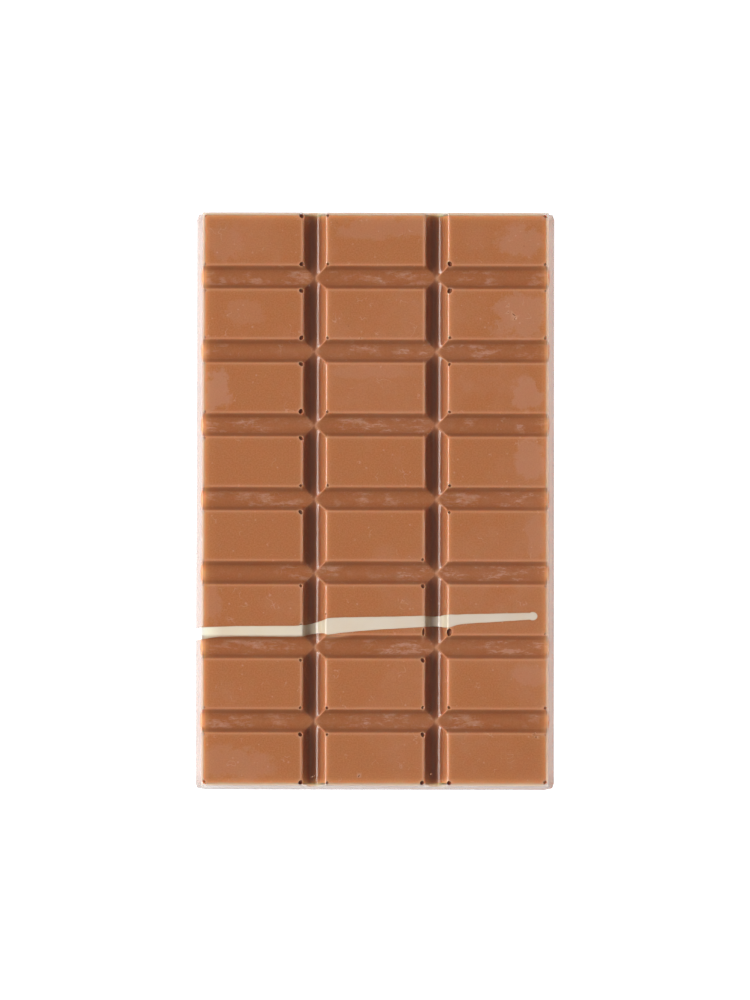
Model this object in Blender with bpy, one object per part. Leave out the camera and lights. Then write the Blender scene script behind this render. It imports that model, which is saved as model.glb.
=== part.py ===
"""Moulded milk chocolate bar, three blocks wide and eight long, with one white streak.

Metres, +Z up. The bar lies on its flat back with the block faces up. X runs across the
columns, Y along the rows, and the origin is the middle of the back.
"""
import math
import random

import bmesh
import bpy

# Layout of the blocks
COLUMNS = 3
ROWS = 8
FACE_X = 0.07100
FACE_Y = 0.11795
PITCH_X = 0.02521
PITCH_Y = 0.01530

# Grooves between the blocks: a round floor between two steep straight walls
GROOVE_WIDTH = 0.00480
GROOVE_DEPTH = 0.00270
GROOVE_WALL = math.radians(66)
FLOOR_STEPS = 12

# Body of the bar
THICKNESS = 0.0100
SIDE_DRAFT = 0.00175
END_DRAFT = 0.00107
BACK_CORNER = 0.00120
FACE_CORNER = 0.00055
BACK_CHAMFER = 0.00015
LIP_RADIUS = 0.00040
LIP_STEPS = 3
CORNER_STEPS = 5

# Air bubbles that the mould left at the corners of the blocks. Each block edge that runs
# along Y has two letters a row, from the first row down: its upper and its lower corner.
BUBBLE_RADIUS = {"s": 0.00024, "m": 0.00035, "l": 0.00052}
BUBBLE_INSET = 0.00032
BUBBLE_JITTER = 0.00006
BUBBLE_SINK = 0.30
CORNER_BUBBLES = {
    (0, -1): "ss ss .s s. .. .. .s sl",
    (0, 1): "mm mm mm mm mm m. mm lm",
    (1, -1): "mm .m .m .m .. .. .s sm",
    (1, 1): ".. .. .. .. .s m. mm lm",
    (2, -1): ".m lm mm .. s. .. .m .m",
    (2, 1): "mm sm .. .. .. ss .s sl",
}
STREAK_BUBBLES = ((0.00996, -0.02760, "m"), (0.01533, -0.02760, "l"))

# White chocolate streak: stations along X with its middle line and half width
STREAK_RELIEF = 0.00010
STREAK_FOOT = 0.0015
STREAK_STATIONS = (
    (-0.0390, -0.02788, 0.00129),
    (-0.0152, -0.02751, 0.00120),
    (-0.0107, -0.02654, 0.00139),
    (-0.0098, -0.02654, 0.00180),
    (-0.0064, -0.02621, 0.00162),
    (0.0011, -0.02580, 0.00134),
    (0.0103, -0.02543, 0.00116),
    (0.0172, -0.02510, 0.00106),
    (0.0263, -0.02473, 0.00079),
    (0.0308, -0.02450, 0.00072),
)
STREAK_END = (0.0326, -0.02435)
STREAK_END_RADIUS = 0.00085
STREAK_END_STEPS = 10

# Room that a cutter keeps above the face or past the sides
CLEARANCE = 0.003
# Points closer than this are one point
WELD = 0.000004


def clear_scene():
    for item in list(bpy.data.objects):
        bpy.data.objects.remove(item, do_unlink=True)


def chocolate_material():
    material = bpy.data.materials.new("milk_chocolate")
    material.use_nodes = True
    shader = material.node_tree.nodes["Principled BSDF"]
    shader.inputs["Base Color"].default_value = (0.42, 0.17, 0.08, 1.0)
    shader.inputs["Roughness"].default_value = 0.38
    shader.inputs["Metallic"].default_value = 0.0
    material.diffuse_color = (0.42, 0.17, 0.08, 1.0)
    return material


def object_from_bmesh(name, shape):
    bmesh.ops.recalc_face_normals(shape, faces=shape.faces)
    mesh = bpy.data.meshes.new(name)
    shape.to_mesh(mesh)
    shape.free()
    item = bpy.data.objects.new(name, mesh)
    bpy.context.scene.collection.objects.link(item)
    return item


def rounded_outline(half_x, half_y, radius):
    """Points of a rectangle with round corners, counter-clockwise."""
    points = []
    for corner, (side_x, side_y) in enumerate(((1, 1), (-1, 1), (-1, -1), (1, -1))):
        for step in range(CORNER_STEPS + 1):
            angle = math.radians(90) * (corner + step / CORNER_STEPS)
            points.append((
                side_x * (half_x - radius) + radius * math.cos(angle),
                side_y * (half_y - radius) + radius * math.sin(angle),
            ))
    return points


def slab_rings():
    """Height, draft still to come at that height, inset and corner radius, from the back up."""
    rings = [(0.0, 1.0, BACK_CHAMFER, BACK_CORNER)]
    rings.append((BACK_CHAMFER, 1.0, 0.0, BACK_CORNER))
    for step in range(LIP_STEPS + 1):
        angle = math.radians(90) * step / LIP_STEPS
        height = THICKNESS - LIP_RADIUS * (1 - math.sin(angle))
        inset = LIP_RADIUS * (1 - math.cos(angle))
        rings.append((height, 1 - height / THICKNESS, inset, FACE_CORNER))
    return rings


def make_slab():
    """The bar before its grooves: drafted sides, round corners and a rounded upper rim."""
    shape = bmesh.new()
    loops = []
    for height, draft, inset, radius in slab_rings():
        half_x = FACE_X / 2 + SIDE_DRAFT * draft - inset
        half_y = FACE_Y / 2 + END_DRAFT * draft - inset
        outline = rounded_outline(half_x, half_y, radius)
        loops.append([shape.verts.new((x, y, height)) for x, y in outline])
    for lower, upper in zip(loops, loops[1:]):
        count = len(lower)
        for index in range(count):
            following = (index + 1) % count
            shape.faces.new((lower[index], lower[following], upper[following], upper[index]))
    shape.faces.new(reversed(loops[0]))
    shape.faces.new(loops[-1])
    return object_from_bmesh("chocolate_bar", shape)


def groove_section():
    """Half of the cutter's outline, from the middle of the floor out past the lip."""
    half = GROOVE_WIDTH / 2
    wall_rise = half * math.tan(GROOVE_WALL)
    floor_radius = (wall_rise - GROOVE_DEPTH) / (1 / math.cos(GROOVE_WALL) - 1)
    points = []
    for step in range(FLOOR_STEPS // 2 + 1):
        angle = GROOVE_WALL * step / (FLOOR_STEPS // 2)
        across = floor_radius * math.sin(angle)
        height = THICKNESS - GROOVE_DEPTH + floor_radius * (1 - math.cos(angle))
        points.append((across, height))
    lip_reach = half + LIP_RADIUS * math.tan(GROOVE_WALL / 2)
    for step in range(LIP_STEPS + 1):
        angle = GROOVE_WALL * (1 - step / LIP_STEPS)
        across = lip_reach - LIP_RADIUS * math.sin(angle)
        height = THICKNESS - LIP_RADIUS * (1 - math.cos(angle))
        points.append((across, height))
    slope = math.tan(GROOVE_WALL / LIP_STEPS / 2)
    points.append((lip_reach + CLEARANCE, THICKNESS + CLEARANCE * slope))
    points.append((lip_reach + CLEARANCE, THICKNESS + CLEARANCE))
    return points


def column_groove(index):
    """Middle of a groove along Y, counted from 1 at the left."""
    return (index - COLUMNS / 2) * PITCH_X


def row_groove(index):
    """Middle of a groove along X, counted from 1 at the far end."""
    return (ROWS / 2 - index) * PITCH_Y


def make_groove_cutter(name, along_y, offset, length):
    """A bar of the groove's section that runs along X or Y at one offset."""
    half = groove_section()
    section = [(-across, height) for across, height in reversed(half[1:])] + half
    shape = bmesh.new()
    ends = []
    for reach in (-length / 2, length / 2):
        if along_y:
            ends.append([shape.verts.new((offset + a, reach, z)) for a, z in section])
        else:
            ends.append([shape.verts.new((reach, offset + a, z)) for a, z in section])
    count = len(section)
    for index in range(count):
        following = (index + 1) % count
        near, far = ends
        shape.faces.new((near[index], near[following], far[following], far[index]))
    for end in ends:
        shape.faces.new(end)
    return object_from_bmesh(name, shape)


def make_grooves():
    cutters = []
    for column in range(1, COLUMNS):
        name = f"column_groove_{column}"
        length = FACE_Y + 4 * CLEARANCE
        cutters.append(make_groove_cutter(name, True, column_groove(column), length))
    for row in range(1, ROWS):
        name = f"row_groove_{row}"
        length = FACE_X + 4 * CLEARANCE
        cutters.append(make_groove_cutter(name, False, row_groove(row), length))
    return cutters


def block_corner(column, side, row, lower):
    """Plan position of a block's corner. Rows count from the far end."""
    edge = column + (1 if side > 0 else 0)
    if edge in (0, COLUMNS):
        x = side * FACE_X / 2
    else:
        x = column_groove(edge) - side * GROOVE_WIDTH / 2
    edge = row + (1 if lower else 0)
    way = -1 if lower else 1
    if edge in (0, ROWS):
        y = way * FACE_Y / 2
    else:
        y = row_groove(edge) - way * GROOVE_WIDTH / 2
    return x, y


def bubble_places():
    """Centre in plan and radius of every air bubble."""
    chance = random.Random(7)
    places = []
    for (column, side), letters in CORNER_BUBBLES.items():
        for row, pair in enumerate(letters.split()):
            for lower, letter in enumerate(pair):
                if letter == ".":
                    continue
                x, y = block_corner(column, side, row, lower)
                x -= side * BUBBLE_INSET
                y += BUBBLE_INSET if lower else -BUBBLE_INSET
                x += chance.uniform(-BUBBLE_JITTER, BUBBLE_JITTER)
                y += chance.uniform(-BUBBLE_JITTER, BUBBLE_JITTER)
                places.append((x, y, BUBBLE_RADIUS[letter]))
    for x, y, letter in STREAK_BUBBLES:
        places.append((x, y, BUBBLE_RADIUS[letter]))
    return places


def make_bubbles():
    cutters = []
    for index, (x, y, radius) in enumerate(bubble_places()):
        shape = bmesh.new()
        bmesh.ops.create_uvsphere(shape, u_segments=8, v_segments=5, radius=radius)
        bmesh.ops.translate(shape, verts=shape.verts, vec=(x, y, THICKNESS - BUBBLE_SINK * radius))
        cutters.append(object_from_bmesh(f"bubble_{index}", shape))
    return cutters


def streak_outline():
    """Plan outline of the streak: out along its lower edge, round its end and back."""
    lower = [(x, y - half) for x, y, half in STREAK_STATIONS]
    upper = [(x, y + half) for x, y, half in reversed(STREAK_STATIONS)]
    end = []
    for step in range(STREAK_END_STEPS + 1):
        angle = math.radians(-120 + 240 * step / STREAK_END_STEPS)
        end.append((
            STREAK_END[0] + STREAK_END_RADIUS * math.cos(angle),
            STREAK_END[1] + STREAK_END_RADIUS * math.sin(angle),
        ))
    return lower + end + upper


def make_streak_prism():
    shape = bmesh.new()
    outline = streak_outline()
    foot = [shape.verts.new((x, y, STREAK_FOOT)) for x, y in outline]
    face = shape.faces.new(foot)
    grown = bmesh.ops.extrude_face_region(shape, geom=[face])
    raised = [part for part in grown["geom"] if isinstance(part, bmesh.types.BMVert)]
    bmesh.ops.translate(shape, verts=raised, vec=(0, 0, THICKNESS - STREAK_FOOT + CLEARANCE))
    return object_from_bmesh("streak", shape)


def combine(target, others, operation):
    """Boolean of the target with a collection of other objects, applied at once."""
    group = bpy.data.collections.new(f"{operation.lower()}_{target.name}")
    bpy.context.scene.collection.children.link(group)
    for item in others:
        item.hide_render = True
        item.display_type = "WIRE"
        bpy.context.scene.collection.objects.unlink(item)
        group.objects.link(item)
    boolean = target.modifiers.new(operation.lower(), "BOOLEAN")
    boolean.operation = operation
    boolean.operand_type = "COLLECTION"
    boolean.collection = group
    boolean.solver = "EXACT"
    evaluated = target.evaluated_get(bpy.context.evaluated_depsgraph_get())
    mesh = bpy.data.meshes.new_from_object(evaluated)
    target.modifiers.clear()
    target.data = mesh
    for item in others:
        bpy.data.objects.remove(item, do_unlink=True)
    bpy.data.collections.remove(group)


def add_streak(bar):
    """Fuse the streak on: the bar's own face, raised a hair inside the streak's outline."""
    raised = bar.copy()
    raised.name = "raised_face"
    raised.data = bar.data.copy()
    for vertex in raised.data.vertices:
        vertex.co.z += STREAK_RELIEF
    bpy.context.scene.collection.objects.link(raised)
    streak = make_streak_prism()
    combine(streak, [raised], "INTERSECT")
    combine(bar, [streak], "UNION")


def weld(item):
    """Merge the near-double points that the cuts leave."""
    shape = bmesh.new()
    shape.from_mesh(item.data)
    bmesh.ops.remove_doubles(shape, verts=shape.verts, dist=WELD)
    bmesh.ops.dissolve_degenerate(shape, edges=shape.edges, dist=WELD)
    shape.to_mesh(item.data)
    shape.free()


def build():
    clear_scene()
    bar = make_slab()
    combine(bar, make_grooves(), "DIFFERENCE")
    add_streak(bar)
    combine(bar, make_bubbles(), "DIFFERENCE")
    weld(bar)
    bar.data.name = "chocolate_bar"
    bar.data.materials.clear()
    bar.data.materials.append(chocolate_material())
    bar.data.shade_smooth()
    bar.data.set_sharp_from_angle(angle=math.radians(30))


build()
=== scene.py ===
"""Looks of a moulded milk chocolate bar with a white chocolate streak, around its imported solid."""

import math
import random

import bmesh
import bpy
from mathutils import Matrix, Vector, noise


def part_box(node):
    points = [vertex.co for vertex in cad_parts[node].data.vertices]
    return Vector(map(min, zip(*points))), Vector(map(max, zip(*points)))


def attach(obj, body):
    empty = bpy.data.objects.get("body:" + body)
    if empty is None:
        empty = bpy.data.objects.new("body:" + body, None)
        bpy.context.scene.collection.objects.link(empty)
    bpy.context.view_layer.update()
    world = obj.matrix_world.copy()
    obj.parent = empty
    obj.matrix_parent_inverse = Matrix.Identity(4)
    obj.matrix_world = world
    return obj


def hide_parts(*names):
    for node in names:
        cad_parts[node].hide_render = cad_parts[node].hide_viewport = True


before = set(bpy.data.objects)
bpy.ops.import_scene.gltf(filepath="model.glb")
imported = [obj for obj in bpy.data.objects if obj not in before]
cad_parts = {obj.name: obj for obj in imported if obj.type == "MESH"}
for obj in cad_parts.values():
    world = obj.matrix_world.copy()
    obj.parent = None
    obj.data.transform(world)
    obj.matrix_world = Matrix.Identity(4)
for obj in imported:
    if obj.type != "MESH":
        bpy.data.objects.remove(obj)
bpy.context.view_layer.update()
bar_low, bar_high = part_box("chocolate_bar")

MM = 0.001

# The moulded bar, as its solid has it
COLUMNS, ROWS = 3, 8
PITCH_X, PITCH_Y = 25.21 * MM, 15.30 * MM
GROOVE_WIDTH = 4.80 * MM
GROOVE_DEPTH = 2.70 * MM
GROOVE_WALL = math.radians(66)
STREAK_RELIEF = 0.10 * MM
SIDE_DRAFT = 1.75 * MM
END_DRAFT = 1.07 * MM
THICKNESS = bar_high.z - bar_low.z - STREAK_RELIEF
HALF_FACE_X = bar_high.x - SIDE_DRAFT
HALF_FACE_Y = bar_high.y - END_DRAFT

# Edges
LIP_RADIUS = 0.42 * MM
RIDGE_FOOT, RIDGE_HEAD = 0.12 * MM, 0.50 * MM
RIM_RADIUS = 0.40 * MM
GROOVE_END_RADIUS = 0.90 * MM
BACK_RADIUS = 0.20 * MM
FACE_CORNER, BACK_CORNER = 0.15 * MM, 1.20 * MM

# Mesh lines of the face, and mesh rings of the rim, the sides and the back edge
FLOOR_LINES, WALL_LINES, LIP_LINES = 7, 2, 7
BLOCK_STARTS = (0.12 * MM, 0.30 * MM, 0.60 * MM, 1.10 * MM)
BORDER_STARTS = (0.35 * MM, 0.80 * MM, 1.40 * MM)
BLOCK_STEP = 1.3 * MM
BORDER_EASE = 1.6 * MM
RIM_STEPS, SIDE_STEPS, BACK_STEPS = 6, 5, 3
RINGS = RIM_STEPS + SIDE_STEPS + BACK_STEPS

# Slight unevenness of the moulded face
WAVE_HEIGHT = 0.010 * MM
WAVE_LENGTH = 7.0 * MM

LIP_REACH = GROOVE_WIDTH / 2 + LIP_RADIUS * math.tan(GROOVE_WALL / 2)
LIP_START = LIP_REACH - LIP_RADIUS * math.sin(GROOVE_WALL)
WALL_RISE = GROOVE_WIDTH / 2 * math.tan(GROOVE_WALL)
FLOOR_RADIUS = (WALL_RISE - GROOVE_DEPTH) / (1 / math.cos(GROOVE_WALL) - 1)
FLOOR_REACH = FLOOR_RADIUS * math.sin(GROOVE_WALL)
SLOPE_X = SIDE_DRAFT / THICKNESS
SLOPE_Y = END_DRAFT / THICKNESS


def groove_places(count, pitch):
    return [(index - count / 2) * pitch for index in range(1, count)]


COLUMN_GROOVES = groove_places(COLUMNS, PITCH_X)
ROW_GROOVES = groove_places(ROWS, PITCH_Y)


def nearest(position, places):
    """Signed distance from the nearest of some places."""
    return min((position - place for place in places), key=abs)


def between(value, start, end):
    """Share of the way from start to end, kept between 0 and 1."""
    return min(max((value - start) / (end - start), 0.0), 1.0)


def groove_drop(distance):
    """How far a groove lies below the face, and how steeply, at a distance from its middle."""
    across = abs(distance)
    if across >= LIP_REACH:
        return 0.0, 0.0
    if across >= LIP_START:
        into = LIP_REACH - across
        rise = math.sqrt(LIP_RADIUS ** 2 - into ** 2)
        return LIP_RADIUS - rise, into / rise
    if across >= FLOOR_REACH:
        lip_drop = LIP_RADIUS * (1 - math.cos(GROOVE_WALL))
        slope = math.tan(GROOVE_WALL)
        return lip_drop + (LIP_START - across) * slope, slope
    rise = math.sqrt(FLOOR_RADIUS ** 2 - across ** 2)
    return GROOVE_DEPTH - FLOOR_RADIUS + rise, across / rise


def face_drop(x, y):
    """Depth of the face at a plan position: two grooves meet in rounded mitre ridges."""
    drop_x, slope_x = groove_drop(nearest(x, COLUMN_GROOVES))
    drop_y, slope_y = groove_drop(nearest(y, ROW_GROOVES))
    height = 1 - max(drop_x, drop_y) / GROOVE_DEPTH
    half_width = RIDGE_FOOT + (RIDGE_HEAD - RIDGE_FOOT) * height * height
    reach = math.sqrt(2) * half_width * min(slope_x, slope_y)
    if reach <= 0:
        return max(drop_x, drop_y)
    share = max(reach - abs(drop_x - drop_y), 0) / reach
    return max(drop_x, drop_y) + share * share * reach / 4


def groove_lines():
    """Distances of the mesh lines of half a groove, from its middle out to the flat face."""
    angle = GROOVE_WALL / FLOOR_LINES
    floor = [FLOOR_RADIUS * math.sin(angle * step) for step in range(FLOOR_LINES + 1)]
    rise = (LIP_START - FLOOR_REACH) / (WALL_LINES + 1)
    wall = [FLOOR_REACH + rise * step for step in range(1, WALL_LINES + 1)]
    angle = GROOVE_WALL / LIP_LINES
    lip = [LIP_REACH - LIP_RADIUS * math.sin(angle * step) for step in range(LIP_LINES, -1, -1)]
    return floor + wall + lip


def flat_lines(low, high, from_low, from_high):
    """Mesh lines of a flat stretch between two ends, without the ends."""
    start = [low + step for step in from_low]
    finish = [high - step for step in reversed(from_high)]
    count = math.ceil((finish[0] - start[-1]) / BLOCK_STEP)
    inner = [start[-1] + (finish[0] - start[-1]) * k / count for k in range(1, count)]
    return start + inner + finish


def face_lines(places, half_face):
    """Mesh lines over the whole face in one direction."""
    half_groove = groove_lines()
    lines = [-half_face]
    low, from_low = -half_face, BORDER_STARTS
    for place in places:
        lines += flat_lines(low, place - LIP_REACH, from_low, BLOCK_STARTS)
        lines += [place - step for step in reversed(half_groove[1:])]
        lines += [place + step for step in half_groove]
        low, from_low = place + LIP_REACH, BLOCK_STARTS
    lines += flat_lines(low, half_face, from_low, BORDER_STARTS)
    return lines + [half_face]


def edge_profile(drop, slope):
    """Rim, side and back edge below a stretch of the face, as (outward, height) pairs."""
    radius = RIM_RADIUS + (GROOVE_END_RADIUS - RIM_RADIUS) * drop / GROOVE_DEPTH
    centre_z = THICKNESS - drop - radius
    centre_out = (THICKNESS - centre_z) * slope - radius * math.sqrt(1 + slope ** 2)
    steepest = math.pi / 2 - math.atan(slope)
    points = []
    for step in range(RIM_STEPS + 1):
        angle = steepest * step / RIM_STEPS
        points.append((centre_out + radius * math.sin(angle), centre_z + radius * math.cos(angle)))
    top_z = points[-1][1]
    for step in range(1, SIDE_STEPS + 1):
        height = top_z + (BACK_RADIUS - top_z) * step / SIDE_STEPS
        points.append(((THICKNESS - height) * slope, height))
    base_out = points[-1][0]
    for step in range(1, BACK_STEPS + 1):
        angle = math.pi / 2 * step / BACK_STEPS
        points.append((
            base_out - BACK_RADIUS * (1 - math.cos(angle)),
            BACK_RADIUS * (1 - math.sin(angle)),
        ))
    return points


def deselect():
    for item in bpy.context.selected_objects:
        item.select_set(False)


def name_piece(item, name):
    item.name = name
    item.data.name = name


def new_grid(name, columns, rows):
    """A flat grid with one vertex for each pair of mesh lines, left in object mode."""
    deselect()
    bpy.ops.mesh.primitive_grid_add(x_subdivisions=columns - 1, y_subdivisions=rows - 1, size=1)
    name_piece(bpy.context.object, name)
    return bpy.context.object


def grid_order(shape, columns):
    """The vertices of a flat grid with their row and column."""
    order = sorted(shape.verts, key=lambda v: (round(v.co.y, 6), round(v.co.x, 6)))
    return [(vertex, *divmod(index, columns)) for index, vertex in enumerate(order)]


def join_pieces(pieces):
    """Join a list of mesh objects into the first of them."""
    deselect()
    for piece in pieces:
        piece.select_set(True)
    bpy.context.view_layer.objects.active = pieces[0]
    bpy.ops.object.join()
    return bpy.context.object


def round_corner(x, y, half_x, half_y, radius):
    """Pull a point near a square corner onto the round one."""
    inner_x, inner_y = half_x - radius, half_y - radius
    if abs(x) <= inner_x or abs(y) <= inner_y:
        return x, y
    offset = Vector((abs(x) - inner_x, abs(y) - inner_y))
    if offset.length < 1e-9:
        return x, y
    reach = max(offset.x, offset.y)
    offset = offset.normalized() * min(reach, radius)
    return math.copysign(inner_x + offset.x, x), math.copysign(inner_y + offset.y, y)


def side_point(x, y, ring, on_x, on_y):
    """Where a point of the face's border goes on one ring of the sides."""
    drop = face_drop(x, y)
    out_x, high_x = edge_profile(drop, SLOPE_X)[ring]
    out_y, high_y = edge_profile(drop, SLOPE_Y)[ring]
    flat_out_x = edge_profile(0, SLOPE_X)[ring][0]
    flat_out_y = edge_profile(0, SLOPE_Y)[ring][0]
    if on_x:
        x = math.copysign(HALF_FACE_X + out_x, x)
    if on_y:
        y = math.copysign(HALF_FACE_Y + out_y, y)
    height = high_x if on_x and not on_y else high_y if on_y and not on_x else (high_x + high_y) / 2
    radius = FACE_CORNER + (BACK_CORNER - FACE_CORNER) * min(1.0, ring / (RIM_STEPS + 2))
    x, y = round_corner(x, y, HALF_FACE_X + flat_out_x, HALF_FACE_Y + flat_out_y, radius)
    return Vector((x, y, height))


def wave(x, y):
    return WAVE_HEIGHT * noise.noise(Vector((x / WAVE_LENGTH, y / WAVE_LENGTH, 0.0)))


def face_point(x, y):
    """A point of the face, eased out to the border where the grooves run out of the sides."""
    drop = face_drop(x, y)
    edge_x = edge_profile(drop, SLOPE_X)[0][0]
    edge_y = edge_profile(drop, SLOPE_Y)[0][0]
    near_x = max(0.0, 1 - (HALF_FACE_X - abs(x)) / BORDER_EASE)
    near_y = max(0.0, 1 - (HALF_FACE_Y - abs(y)) / BORDER_EASE)
    x += math.copysign(edge_x * near_x, x)
    y += math.copysign(edge_y * near_y, y)
    return Vector((x, y, THICKNESS - drop + wave(x, y) * (1 - near_x) * (1 - near_y)))


def grow_ring(shape, border, plan, ring):
    """Extrude the open border by one ring of the sides. Gives the new border and its plan."""
    grown = bmesh.ops.extrude_edge_only(shape, edges=border)
    border = [part for part in grown["geom"] if isinstance(part, bmesh.types.BMEdge)]
    raised = [part for part in grown["geom"] if isinstance(part, bmesh.types.BMVert)]
    following = {}
    for vertex in raised:
        source = next(
            edge.other_vert(vertex) for edge in vertex.link_edges
            if edge.other_vert(vertex) in plan
        )
        following[vertex] = plan[source]
    for vertex, (x, y, on_x, on_y) in following.items():
        vertex.co = side_point(x, y, ring, on_x, on_y)
    return border, following


def make_bar():
    """The bar as one mesh: the face from a grid, then the sides ring by ring, then the back."""
    x_lines = face_lines(COLUMN_GROOVES, HALF_FACE_X)
    y_lines = face_lines(ROW_GROOVES, HALF_FACE_Y)
    bar = new_grid("milk_chocolate_bar", len(x_lines), len(y_lines))
    bpy.ops.object.mode_set(mode="EDIT")
    shape = bmesh.from_edit_mesh(bar.data)
    plan = {}
    for vertex, row, column in grid_order(shape, len(x_lines)):
        x, y = x_lines[column], y_lines[row]
        vertex.co = face_point(x, y)
        on_x = column in (0, len(x_lines) - 1)
        on_y = row in (0, len(y_lines) - 1)
        if on_x or on_y:
            plan[vertex] = (x, y, on_x, on_y)
    border = [edge for edge in shape.edges if edge.is_boundary]
    for ring in range(1, RINGS + 1):
        border, plan = grow_ring(shape, border, plan, ring)
    bmesh.ops.holes_fill(shape, edges=border, sides=0)
    bmesh.ops.recalc_face_normals(shape, faces=shape.faces)
    bmesh.update_edit_mesh(bar.data)
    bpy.ops.object.mode_set(mode="OBJECT")
    return bar


# Air bubbles at the corners of the blocks: two letters a row, its upper and its lower corner
BUBBLE_RADIUS = {"t": 0.20 * MM, "s": 0.30 * MM, "m": 0.46 * MM, "l": 0.60 * MM}
BUBBLE_INSET = 0.36 * MM
BUBBLE_JITTER = 0.06 * MM
BUBBLE_LONG, BUBBLE_SHORT = (1.0, 1.25), (0.8, 1.0)
BUBBLE_TURN = 25
BUBBLE_SINK = 0.34
BUBBLE_HEIGHT = 1.2
CORNER_BUBBLES = {
    (0, -1): "tt tt .t t. .. .. .t tm",
    (0, 1): "mm mm mm ms m. s. ss mm",
    (1, -1): "ss .s .s .s .. .. .s ss",
    (1, 1): ".. .. .. .. .s m. ms mm",
    (2, -1): ".m ls ss .s s. .. .s .m",
    (2, 1): "ms ts .. .. .. tt .s tm",
}
# Other hollows of the face: place, half length and half width in millimetres, turn in degrees
OTHER_HOLLOWS = (
    (10.02, -27.60, 0.95, 0.27, 86),
    (15.36, -27.55, 0.85, 0.52, 84),
    (-15.22, -26.02, 0.40, 0.20, 0),
    (10.02, -24.50, 0.24, 0.16, 20),
    (-10.15, -23.80, 0.22, 0.16, 0),
    (15.20, -24.20, 0.22, 0.18, 0),
    (-7.90, -28.35, 2.20, 0.26, 6),
    (28.62, 38.18, 0.44, 0.12, -37),
    (28.84, 37.38, 0.38, 0.10, 56),
    (27.44, 40.18, 0.18, 0.12, 0),
    (27.44, 38.67, 0.17, 0.11, 0),
    (-3.25, -57.25, 0.34, 0.14, 60),
    (-3.05, 33.30, 0.16, 0.14, 0),
    (33.30, -49.15, 0.20, 0.16, 0),
)


def block_corner(column, side, row, lower):
    """Plan position of a block's corner. Rows count from the far end."""
    edge = column + (1 if side > 0 else 0)
    x = side * HALF_FACE_X
    if 0 < edge < COLUMNS:
        x = COLUMN_GROOVES[edge - 1] - side * GROOVE_WIDTH / 2
    edge = row + (1 if lower else 0)
    way = -1 if lower else 1
    y = way * HALF_FACE_Y
    if 0 < edge < ROWS:
        y = -ROW_GROOVES[edge - 1] - way * GROOVE_WIDTH / 2
    return x, y


def corner_bubble(chance, column, side, row, lower, letter):
    """Place, half sizes and turn of the air bubble at one corner of a block."""
    x, y = block_corner(column, side, row, lower)
    x -= side * BUBBLE_INSET
    y += BUBBLE_INSET if lower else -BUBBLE_INSET
    x += chance.uniform(-BUBBLE_JITTER, BUBBLE_JITTER)
    y += chance.uniform(-BUBBLE_JITTER, BUBBLE_JITTER)
    long_half = BUBBLE_RADIUS[letter] * chance.uniform(*BUBBLE_LONG)
    short_half = BUBBLE_RADIUS[letter] * chance.uniform(*BUBBLE_SHORT)
    slant = 45 if (side > 0) == bool(lower) else 135
    turn = math.radians(slant + chance.uniform(-BUBBLE_TURN, BUBBLE_TURN))
    return x, y, long_half, short_half, turn


def all_hollows():
    """Every hollow of the face as place, half sizes and turn."""
    chance = random.Random(7)
    hollows = []
    for (column, side), letters in CORNER_BUBBLES.items():
        for row, pair in enumerate(letters.split()):
            for lower, letter in enumerate(pair):
                if letter != ".":
                    hollows.append(corner_bubble(chance, column, side, row, lower, letter))
    for x, y, long_half, short_half, turn in OTHER_HOLLOWS:
        hollows.append((x * MM, y * MM, long_half * MM, short_half * MM, math.radians(turn)))
    return hollows


HOLLOWS = all_hollows()


def cut_hollows(bar):
    """Sink every hollow into the face with one Boolean of joined spheres."""
    spheres = []
    for x, y, long_half, short_half, turn in HOLLOWS:
        deselect()
        height = THICKNESS - face_drop(x, y) - BUBBLE_SINK * short_half
        bpy.ops.mesh.primitive_uv_sphere_add(
            segments=20, ring_count=12, radius=MM, location=(x, y, height), rotation=(0, 0, turn),
        )
        sphere = bpy.context.object
        sphere.scale = (long_half / MM, short_half / MM, BUBBLE_HEIGHT * short_half / MM)
        spheres.append(sphere)
    cutter = join_pieces(spheres)
    boolean = bar.modifiers.new("hollows", "BOOLEAN")
    boolean.operation = "DIFFERENCE"
    boolean.object = cutter
    boolean.solver = "EXACT"
    boolean.use_self = False
    deselect()
    bar.select_set(True)
    bpy.context.view_layer.objects.active = bar
    bpy.ops.object.modifier_apply(modifier=boolean.name)
    bpy.data.objects.remove(cutter, do_unlink=True)


# White chocolate streak: stations of its middle line and half width, in millimetres
STREAK_STATIONS = tuple((x * MM, y * MM, half * MM) for x, y, half in (
    (-39.0, -27.90, 1.50),
    (-35.6, -27.82, 1.38),
    (-33.4, -27.60, 1.20),
    (-28.0, -27.42, 1.18),
    (-15.4, -27.34, 1.26),
    (-13.2, -26.88, 1.22),
    (-10.7, -26.40, 1.50),
    (-9.6, -26.36, 1.88),
    (-6.4, -26.08, 1.74),
    (1.1, -25.70, 1.46),
    (10.3, -25.32, 1.27),
    (12.6, -25.24, 1.15),
    (15.1, -25.22, 1.50),
    (17.2, -24.94, 1.18),
    (20.3, -24.72, 1.07),
    (26.3, -24.48, 0.92),
    (30.6, -24.26, 0.84),
))
STREAK_END = (32.60 * MM, -24.20 * MM)
STREAK_END_RADIUS = 0.96 * MM
STREAK_PINCH = 0.12
STREAK_WOBBLE = 0.05 * MM
WOBBLE_LENGTH = 2.2 * MM
LOW_WOBBLE, HIGH_WOBBLE = 3.1, 7.7

# Section of the streak, from its middle to its tucked edges, and its mesh lines
STREAK_LIFT = 0.045 * MM
STREAK_TUCK = 0.040 * MM
STREAK_CROWN = 6
STREAK_ROWS = 36
STREAK_BUNCH = 0.35
STREAK_STEP = 0.6 * MM
NECK_STEPS, TIP_STEPS = 8, 14
TIP_START, TIP_CLOSE = 0.75, 0.999

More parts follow.
